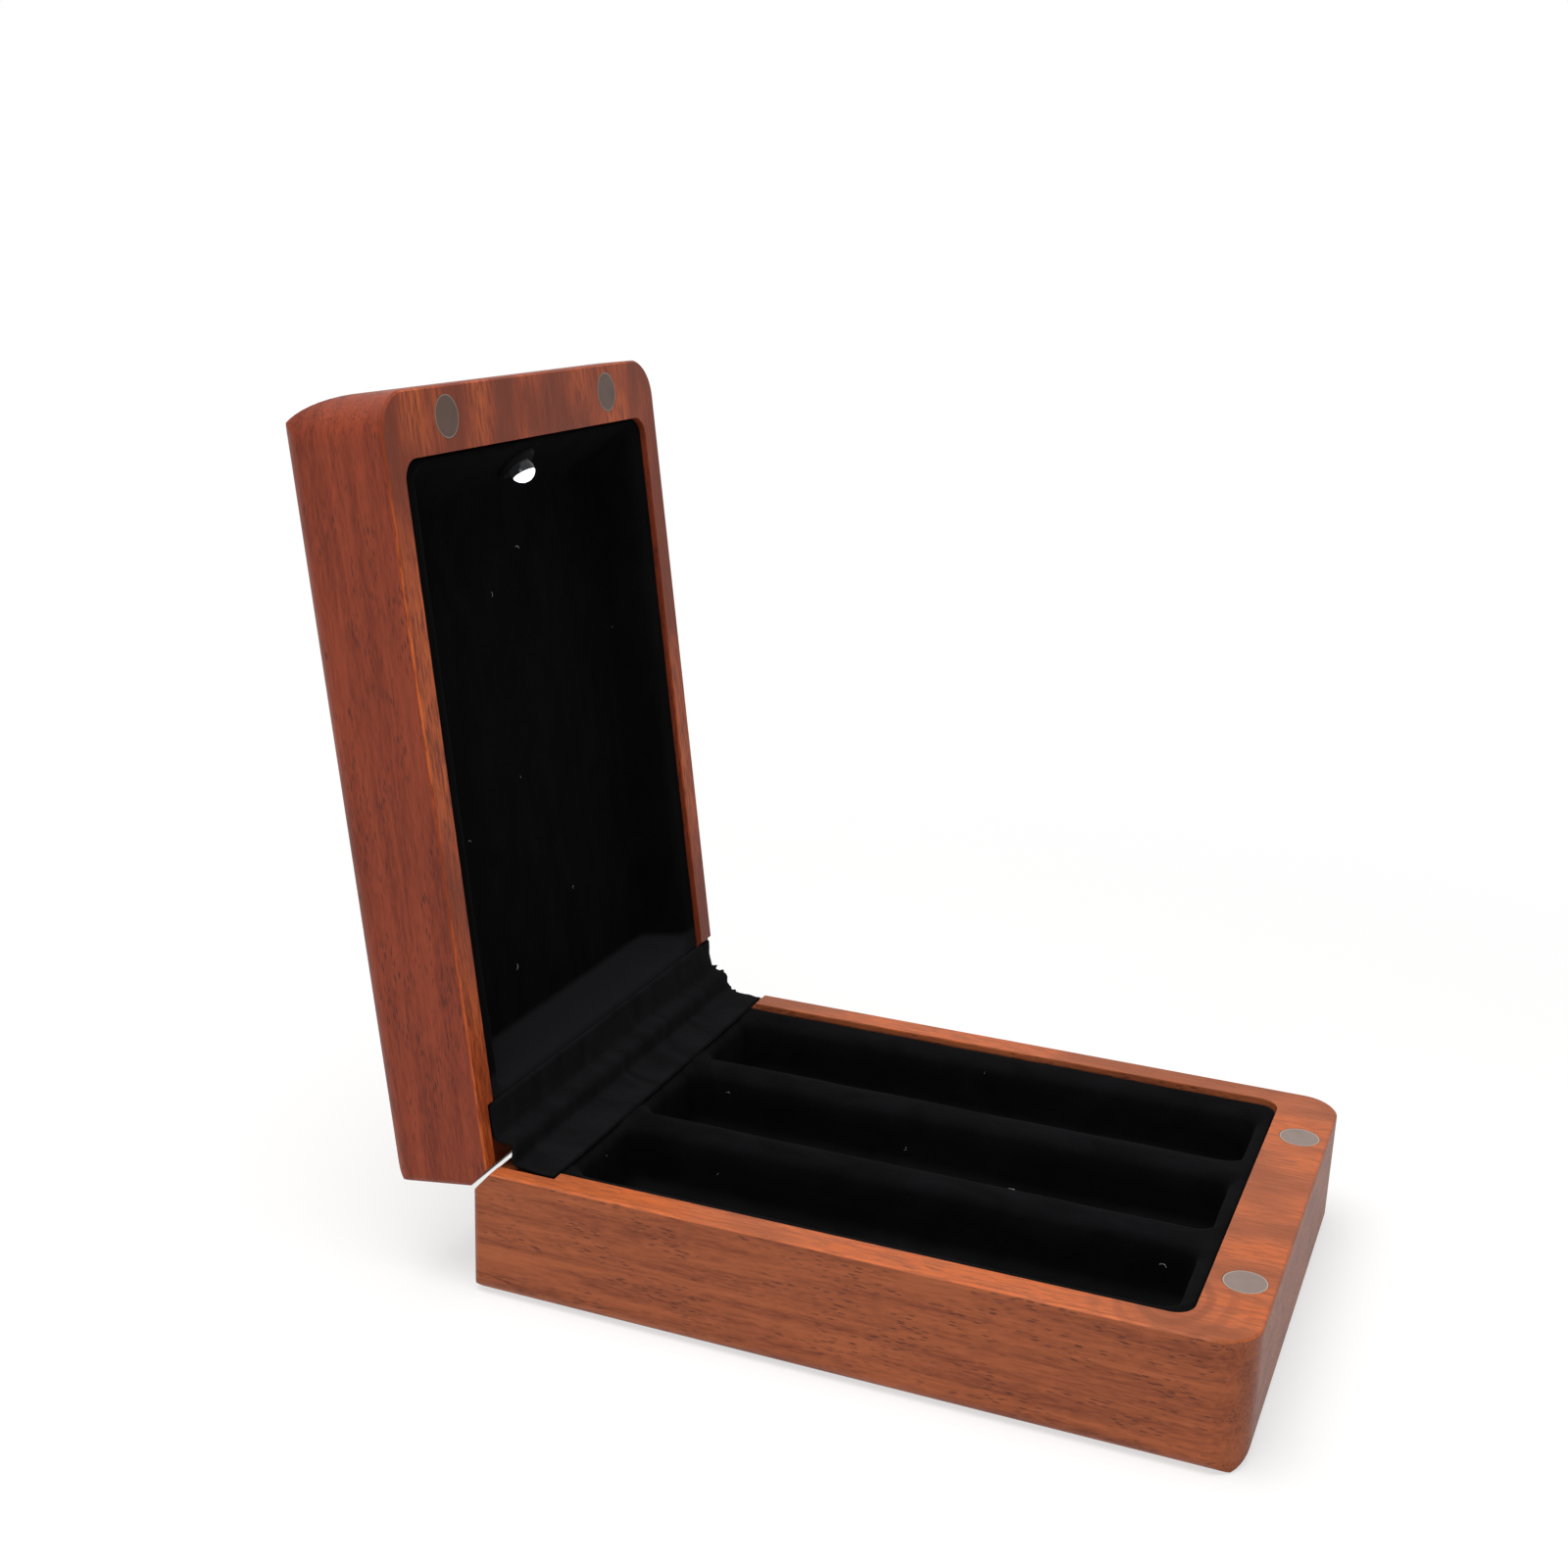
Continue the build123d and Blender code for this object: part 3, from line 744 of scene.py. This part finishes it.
def lid_rings(depth):
    """The lid velvet's rings, from its outer edge over its slopes to its middle. They lie
    mouth up with the mouth at height 0, and are turned over into the lid later."""
    outer = (TRAY_LOW.x, TRAY_HIGH.x, -LID_HALF, LID_HALF)
    rear, front, half = LID_MOUTH
    mouth = (RECESS_LOW + rear, RECESS_HIGH - front, -half, half)
    inwards, downwards = LID_ROUND
    hair = 0.02 * MM
    levels = [(0, LID_HEM), (hair, downwards)]
    levels += [
        (hair + inwards * (1 - math.cos(a)), downwards * (1 - math.sin(a)))
        for a in quarter(4)[1:]
    ]
    rings = [
        ring(shrunk(outer, inset, inset, inset), LINING_CORNER - inset, -down, (40, 30))
        for inset, down in levels
    ]
    corner, floor_corner = LID_CORNERS
    slopes = []
    for i in range(9):
        u = i / 8
        down = LID_DROP * u * u
        moves = [s * down - flat * (1 - u) ** 2 for s, flat in zip(LID_SLOPES, LID_LEVELS)]
        slopes.append((moves, down, corner))
    for i in range(1, 9):
        down = LID_DROP + (depth - LID_FOOT - LID_DROP) * i / 8
        slopes.append(([s * down for s in LID_SLOPES], down, corner))
    for i in range(1, 7):
        u = i / 6
        down = depth - LID_FOOT * (1 - u) ** 2
        slopes.append(([s * down + LID_FOOT * u * u for s in LID_SLOPES], down, corner))
    for inset in LID_INSETS:
        crown = LID_CROWN * math.sin(min(1.0, inset / 30) * math.pi / 2)
        moves = [s * depth + inset * MM for s in LID_SLOPES]
        slopes.append((moves, depth - crown, floor_corner))
    return rings + [
        ring(shrunk(mouth, *moves), radius, -down, (40, 30)) for moves, down, radius in slopes
    ]


class REEDCASE_OT_lid_lining(Operator):
    """Makes the velvet skin of the lid's padded recess"""

    bl_idname = "reedcase.lid_lining"
    bl_label = "Lid Lining"

    def execute(self, context):
        sizes = context.scene.reedcase_lining
        # Painted shade: the lid's velvet is drawn darker, with a lift of 0.75, for its recess in
        # shadow
        finish = velvet("Black velvet, lid", sizes, 0.75, 0.03, OPEN_ANGLE)
        mesh = bmesh.new()
        mesh.faces.new(skin(mesh, lid_rings(sizes.lid_depth - LID_EDGE))[-1])
        soften(mesh, 0.14 * MM, 13 * MM, 9.0, keep=lambda v: v.co.z > -0.05 * MM)
        shut = Matrix.Translation((0, 0, LID_RIM + LID_EDGE)) @ Matrix.Diagonal((1, 1, -1, 1))
        bmesh.ops.transform(mesh, matrix=OPENED @ shut, verts=mesh.verts)
        bmesh.ops.reverse_faces(mesh, faces=mesh.faces)
        made = finished(mesh, "lid_lining", finish)
        thickened(made, sizes.cloth * 0.9, -1)

        mesh = bmesh.new()
        centre, way = bulb_axis()
        turned = Vector((0, 0, 1)).rotation_difference(way).to_matrix().to_4x4()
        radius, depth = BULB_HOLE
        bmesh.ops.create_cone(
            mesh,
            cap_ends=True,
            segments=40,
            radius1=radius,
            radius2=radius,
            depth=depth,
            matrix=Matrix.Translation(centre) @ turned,
        )
        cutter = finished(mesh, "bulb_hole", finish)
        cut = made.modifiers.new("Hole", "BOOLEAN")
        cut.object = cutter
        cut.operation = "DIFFERENCE"
        cut.solver = "EXACT"
        settled(made)
        bpy.data.objects.remove(cutter)
        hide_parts("lid_velvet")
        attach(made, "lid")
        return {"FINISHED"}


# Hinge strip

STRIP_SEAT = 0.55 * MM  # from the pin's level to the strip's middle, in each half
STRIP_CLOTH = 0.7 * MM  # thickness of the strip
STRIP_STEPS = 150  # steps along the hinge
BEND = 7.2 * MM  # from the pin to where the cloth leaves its seat
BEND_CORNER = 0.6 * MM  # from the pin to the corner that the bend is drawn towards
BEND_STEPS = 24
# Folds of the loose cloth: height as a share of the fold, place and width of the bend
FOLDS = ((0.95, 0.56, 0.16), (-0.12, 0.30, 0.10), (-0.096, 0.84, 0.09))
FRAYED = (0.28, 0.72)  # the share of the far end that has loose threads


def strip_line(sizes, wave):
    """The strip's middle line from the base's rim over the hinge to the lid's rim."""
    along_base = Vector((1, 0, 0))
    outwards = (along_base + ALONG_LID).normalized()
    edge = REAR + sizes.reach - PIVOT.x
    reaches = [edge + (BEND - edge) * i / 8 for i in range(9)]
    base_seat = PIVOT - Vector((0, 0, STRIP_SEAT))
    lid_seat = PIVOT - INTO_CASE * STRIP_SEAT
    first = base_seat + along_base * BEND
    last = lid_seat + ALONG_LID * BEND
    corner = PIVOT + outwards * BEND_CORNER
    bend = []
    for i in range(1, BEND_STEPS):
        u = i / BEND_STEPS
        line = first * (1 - u) ** 2 + corner * (2 * u * (1 - u)) + last * u * u
        rise = sum(h * math.exp(-(((u - place) / width) ** 2)) for h, place, width in FOLDS)
        bend.append(line + outwards * (sizes.fold * rise * (1 + wave)))
    start = [base_seat + along_base * reach for reach in reaches]
    end = [lid_seat + ALONG_LID * reach for reach in reversed(reaches)]
    return start + bend + end


def wander(share, turns, row, level):
    """Smooth noise along an edge."""
    return noise.noise(Vector((share * turns, row, level)))


def strip_rows(sizes):
    """The strip's points in rows across the hinge, with its uneven ends."""
    rows = []
    for k in range(STRIP_STEPS + 1):
        t = k / STRIP_STEPS
        line = strip_line(sizes, 0.22 * wander(t, 6, 2.0, 0.5) + 0.12 * wander(t, 21, 7.0, 0.5))
        row = []
        for i, point in enumerate(line):
            s = i / (len(line) - 1)
            near = -sizes.near_end + 0.35 * MM * wander(s, 7, 4.0, 1.5)
            far = sizes.far_end + 0.5 * MM * wander(s, 16, 9.0, 1.5)
            if FRAYED[0] < s < FRAYED[1]:
                far += sizes.fray * max(0.0, wander(s, 83, 5.0, 2.5) - 0.1) * 2
            row.append(Vector((point.x, near + (far - near) * t, point.z)))
        rows.append(row)
    return rows


class REEDCASE_OT_hinge_strip(Operator):
    """Makes the velvet strip that is glued over the hinge"""

    bl_idname = "reedcase.hinge_strip"
    bl_label = "Hinge Strip"

    def execute(self, context):
        sizes = context.scene.reedcase_strip
        lining = context.scene.reedcase_lining
        # Painted light: the hinge strip's velvet is drawn lighter, with a lift of 1.9, for its
        # fold that faces up to the light
        finish = velvet("Black velvet, hinge strip", lining, 1.9, 0.25)
        rows = strip_rows(sizes)
        mesh = bmesh.new()
        sheet = [[mesh.verts.new(p) for p in row] for row in rows]
        for first, second in zip(sheet, sheet[1:]):
            for i in range(len(first) - 1):
                mesh.faces.new((first[i], second[i], second[i + 1], first[i + 1]))
        mesh.normal_update()
        if sum(f.normal.z for f in mesh.faces) < 0:
            bmesh.ops.reverse_faces(mesh, faces=mesh.faces)
        made = finished(mesh, "hinge_strip", finish)
        thickened(made, STRIP_CLOTH, 0)
        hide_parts("hinge_flap")
        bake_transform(made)
        return {"FINISHED"}


# Lint


def lint_tree(sizes, material, seed):
    """Geometry nodes that scatter short curled fibres over a lining."""
    inputs = {
        "Density": ("Float", sizes.density),
        "Length": ("Float", sizes.fibre_length),
        "Thickness": ("Float", sizes.fibre_radius),
        "Seed": ("Int", seed),
        "Finish": ("Material", material),
    }
    tree, given, values = geometry_tree("Lint", inputs)
    span, seeded = given.outputs["Length"], given.outputs["Seed"]
    ground = {
        "Mesh": given.outputs["Geometry"],
        "Density": given.outputs["Density"],
        "Seed": seeded,
    }
    spread = add(tree, "GeometryNodeDistributePointsOnFaces", ground)
    half = add(tree, "ShaderNodeMath", {0: span, 1: 0.5}, operation="MULTIPLY")
    bow = add(tree, "ShaderNodeMath", {0: span, 1: 0.6}, operation="MULTIPLY")
    course = {
        "Resolution": 5,
        "Start": (0, 0, 0),
        "Middle": add(tree, "ShaderNodeCombineXYZ", {0: half, 1: bow}),
        "End": add(tree, "ShaderNodeCombineXYZ", {0: span}),
    }
    fibre = add(tree, "GeometryNodeCurveQuadraticBezier", course)
    circle = {"Resolution": 5, "Radius": given.outputs["Thickness"]}
    section = add(tree, "GeometryNodeCurvePrimitiveCircle", circle)
    swept = {"Curve": fibre, "Profile Curve": section, "Fill Caps": True}
    tube = add(tree, "GeometryNodeCurveToMesh", swept)
    lift = {"Geometry": tube, "Translation": (0, 0, 0.08 * MM)}
    lifted = add(tree, "GeometryNodeTransform", lift)
    turns = {"Min": (-0.12, -0.12, 0.0), "Max": (0.12, 0.12, 6.283), "Seed": seeded}
    spin = add(tree, "FunctionNodeRandomValue", turns, data_type="FLOAT_VECTOR")
    lying = {0: spread.outputs["Rotation"], 1: spin}
    turned = add(tree, "FunctionNodeRotateRotation", lying, rotation_space="LOCAL")
    shares = {2: 0.4, 3: 1.3, "Seed": seeded}
    share = add(tree, "FunctionNodeRandomValue", shares, data_type="FLOAT")
    fibres = {
        "Points": spread.outputs["Points"],
        "Instance": lifted,
        "Rotation": turned,
        "Scale": share.outputs[1],
    }
    placed = add(tree, "GeometryNodeInstanceOnPoints", fibres)
    real = add(tree, "GeometryNodeRealizeInstances", {"Geometry": placed})
    coat = {"Geometry": real, "Material": given.outputs["Finish"]}
    add(tree, "NodeGroupOutput", {0: add(tree, "GeometryNodeSetMaterial", coat)})
    return tree, values


class REEDCASE_OT_lint(Operator):
    """Scatters a little lint on both linings"""

    bl_idname = "reedcase.lint"
    bl_label = "Lint"

    def execute(self, context):
        sizes = context.scene.reedcase_lint
        cotton = moulded("Cotton lint", "#b9b7b2", "#8f8d89", 0.9, 0.3, 0.1)
        for lining, body, seed in (("base_lining", "base", 4), ("lid_lining", "lid", 11)):
            held = bpy.data.objects[lining]
            made = bpy.data.objects.new(f"{body}_lint", held.data.copy())
            context.scene.collection.objects.link(made)
            with_nodes(made, *lint_tree(sizes, cotton, seed))
            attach(made, body)
        return {"FINISHED"}


# Finishes of CAD pieces

SWIRL_EYE = (58.0, -43.0, 0.0)  # beside the base's near front magnet, in millimetres


class REEDCASE_OT_wood(Operator):
    """Gives both wooden halves their oiled hardwood"""

    bl_idname = "reedcase.wood"
    bl_label = "Wood"

    def execute(self, context):
        sizes = context.scene.reedcase_wood
        base = (sizes.base_side, sizes.base_dark, sizes.base_rim)
        lid = (sizes.lid_side, sizes.lid_dark, sizes.lid_rim)
        dress(hardwood("Oiled padauk, base", sizes, base, 0.0, RIM, SWIRL_EYE), "base_shell")
        dress(hardwood("Oiled padauk, lid", sizes, lid, OPEN_ANGLE, LID_RIM), "lid_shell")
        return {"FINISHED"}


class REEDCASE_OT_metalwork(Operator):
    """Finishes the magnets, the hinge and its screws"""

    bl_idname = "reedcase.metalwork"
    bl_label = "Metalwork"

    def execute(self, context):
        # Each half's nickel colour and the brighter edge colour of its chamfer highlight; the
        # lid's are painted darker, as painted shade on a rim that faces away from the light
        for half, code, edge, turn in (
            ("base", "#94827a", "#bcab9b", 0.0),
            ("lid", "#5a463e", "#88756a", OPEN_ANGLE),
        ):
            magnets = (f"{half}_magnet_left", f"{half}_magnet_right")
            nickel = magnet_nickel(f"Nickel plate, {half}", code, edge, turn, magnets[0])
            dress(nickel, *magnets)
        brass = metal("Brass sheet", "#b08d57", "#8a6a3a", 0.32, 2.2)
        dress(brass, "hinge_base_leaf", "hinge_lid_leaf")
        steel = metal("Zinc plated steel", "#a9aaa8", "#7c7d7c", 0.35, 1.2)
        dress(steel, "hinge_base_screws", "hinge_lid_screws", "hinge_pin", "coin_cell")
        return {"FINISHED"}


class REEDCASE_OT_light(Operator):
    """Lights the lamp and finishes the parts behind it"""

    bl_idname = "reedcase.light"
    bl_label = "Light"

    def execute(self, context):
        dress(lit_lens("Cast epoxy lens", context.scene.reedcase_light), "led_bulb")
        black = moulded("Moulded black nylon", "#09090a", "#101011", 0.75, 0.4, 0.06)
        dress(black, "led_collar", "cell_holder")
        dress(moulded("Lacquered glass board", "#1d4a2c", "#2c6a3d", 0.4, 0.8), "led_board")
        dress(metal("Tinned steel wire", "#b9bab8", "#8f8f8e", 0.3, 0.8), "led_leads")
        foam = moulded("Black foam", "#151516", "#232325", 0.95, 0.7)
        dress(foam, "lid_padding", "slot_tray")
        return {"FINISHED"}


# Stage

FLOOR_HALF = 4.0  # half the floor's width in metres
FLOOR_DROP = 0.05 * MM  # keeps the floor just clear of the case
LAMP_AIM = Vector((0, 0, 60 * MM))
# Each lamp's name, place, size, watts and colour
LAMPS = (
    ("Key", (-0.10, -0.14, 0.85), (0.6, 0.6), 8.0, (1.0, 0.98, 0.96)),
    ("Front", (0.05, -1.0, 0.12), (0.8, 0.3), 4.2, (1.0, 0.99, 0.98)),
)
CAMERA_PLACE = Vector((105.89, -351.96, 203.11)) * MM
CAMERA_TURNS = (20.651, 17.229, 2.360)  # azimuth, elevation and roll in degrees
CAMERA_LENS = 46.233
CAMERA_SHIFT = (-0.0216, 0.026)


def soft_lamp(name, spot, size, power, shade):
    """A large soft lamp that looks at the case."""
    light = bpy.data.lights.new(name, "AREA")
    light.shape = "RECTANGLE"
    light.size, light.size_y = size
    light.energy = power
    light.color = shade
    lamp = bpy.data.objects.new(name, light)
    lamp.location = spot
    aim = LAMP_AIM - Vector(spot)
    lamp.rotation_euler = aim.to_track_quat("-Z", "Y").to_euler()
    bpy.context.scene.collection.objects.link(lamp)


def seen_rays(tree):
    """One for rays from the camera, from gloss and through glass."""
    path = add(tree, "ShaderNodeLightPath")
    seen = path.outputs["Is Camera Ray"]
    for kind in ("Is Glossy Ray", "Is Transmission Ray"):
        ends = {0: seen, 1: path.outputs[kind]}
        seen = add(tree, "ShaderNodeMath", ends, operation="MAXIMUM")
    return seen


def make_floor():
    """A plain white table top that keeps the case's shadow and fades out to white."""
    mesh = bmesh.new()
    bmesh.ops.create_grid(mesh, x_segments=2, y_segments=2, size=FLOOR_HALF)
    material, tree = new_material("White paper sweep")
    here = add(tree, "ShaderNodeTexCoord").outputs["Object"]
    away = add(tree, "ShaderNodeVectorMath", {0: here}, operation="LENGTH")
    reach = {0: away.outputs["Value"], 1: 0.10, 2: 0.34, 3: 0.62}
    ends = {0: seen_rays(tree), 1: add(tree, "ShaderNodeMapRange", reach)}
    share = add(tree, "ShaderNodeMath", ends, operation="MULTIPLY")
    paper = add(tree, "ShaderNodeBsdfDiffuse", {"Color": paint((0.86,) * 3)})
    white = add(tree, "ShaderNodeEmission", {"Color": paint((1.0,) * 3), "Strength": 1.0})
    both = add(tree, "ShaderNodeMixShader", {0: share, 1: paper, 2: white})
    add(tree, "ShaderNodeOutputMaterial", {"Surface": both})
    floor = finished(mesh, "floor", material)
    floor.data.transform(Matrix.Translation((0, 0, -FLOOR_DROP)))


def make_world():
    """An even white surround that lights the case at 0.4 and is seen at 1."""
    world = bpy.data.worlds.new("Surround")
    bpy.context.scene.world = world
    world.use_nodes = True
    tree = world.node_tree
    tree.nodes.clear()
    shares = {0: seen_rays(tree), 1: 0.6, 2: 0.4}
    strength = add(tree, "ShaderNodeMath", shares, operation="MULTIPLY_ADD")
    even = {"Color": paint((1.0,) * 3), "Strength": strength}
    back = add(tree, "ShaderNodeBackground", even)
    add(tree, "ShaderNodeOutputWorld", {"Surface": back})


def make_camera():
    """The camera, at the photographer's place."""
    data = bpy.data.cameras.new("Camera")
    camera = bpy.data.objects.new("Camera", data)
    bpy.context.scene.collection.objects.link(camera)
    bpy.context.scene.camera = camera
    azimuth, elevation, roll = (math.radians(a) for a in CAMERA_TURNS)
    level = math.cos(elevation)
    back = Vector((math.sin(azimuth) * level, -math.cos(azimuth) * level, math.sin(elevation)))
    right = Vector((math.cos(azimuth), math.sin(azimuth), 0))
    up = back.cross(right)
    turned_right = right * math.cos(roll) + up * math.sin(roll)
    turned_up = up * math.cos(roll) - right * math.sin(roll)
    place = Matrix((turned_right, turned_up, back)).transposed().to_4x4()
    place.translation = CAMERA_PLACE
    camera.matrix_world = place
    data.lens = CAMERA_LENS
    data.sensor_width = 36.0
    data.shift_x, data.shift_y = CAMERA_SHIFT
    data.clip_start = 0.01
    data.clip_end = 20.0


class REEDCASE_OT_stage(Operator):
    """Sets the floor, the surround, the lamps and the camera"""

    bl_idname = "reedcase.stage"
    bl_label = "Stage"

    def execute(self, context):
        make_floor()
        make_world()
        make_camera()
        for lamp in LAMPS:
            soft_lamp(*lamp)
        context.scene.view_settings.view_transform = "Standard"
        return {"FINISHED"}


class REEDCASE_PT_panel(Panel):
    """Lists the pieces and their settings"""

    bl_idname = "REEDCASE_PT_panel"
    bl_label = "Reed Case"
    bl_space_type = "VIEW_3D"
    bl_region_type = "UI"
    bl_category = "Reed Case"

    def draw(self, context):
        for operator in OPERATORS:
            self.layout.operator(operator.bl_idname)
        for group in GROUPS:
            held = getattr(context.scene, group)
            box = self.layout.box()
            for name in held.__annotations__:
                box.prop(held, name)


OPERATORS = (
    REEDCASE_OT_wood,
    REEDCASE_OT_base_lining,
    REEDCASE_OT_lid_lining,
    REEDCASE_OT_hinge_strip,
    REEDCASE_OT_lint,
    REEDCASE_OT_metalwork,
    REEDCASE_OT_light,
    REEDCASE_OT_stage,
)
GROUPS = {
    "reedcase_wood": ReedCaseWood,
    "reedcase_lining": ReedCaseLining,
    "reedcase_strip": ReedCaseStrip,
    "reedcase_lint": ReedCaseLint,
    "reedcase_light": ReedCaseLight,
}


def register():
    """Registers the settings, the operators and the panel."""
    for name, group in GROUPS.items():
        bpy.utils.register_class(group)
        setattr(bpy.types.Scene, name, PointerProperty(type=group))
    for operator in OPERATORS:
        bpy.utils.register_class(operator)
    bpy.utils.register_class(REEDCASE_PT_panel)


def unregister():
    """Takes everything out again."""
    bpy.utils.unregister_class(REEDCASE_PT_panel)
    for operator in reversed(OPERATORS):
        bpy.utils.unregister_class(operator)
    for name, group in GROUPS.items():
        delattr(bpy.types.Scene, name)
        bpy.utils.unregister_class(group)


def main():
    """Makes every piece in order."""
    register()
    for operator in OPERATORS:
        group, name = operator.bl_idname.split(".")
        getattr(getattr(bpy.ops, group), name)()


if __name__ == "__main__":
    main()
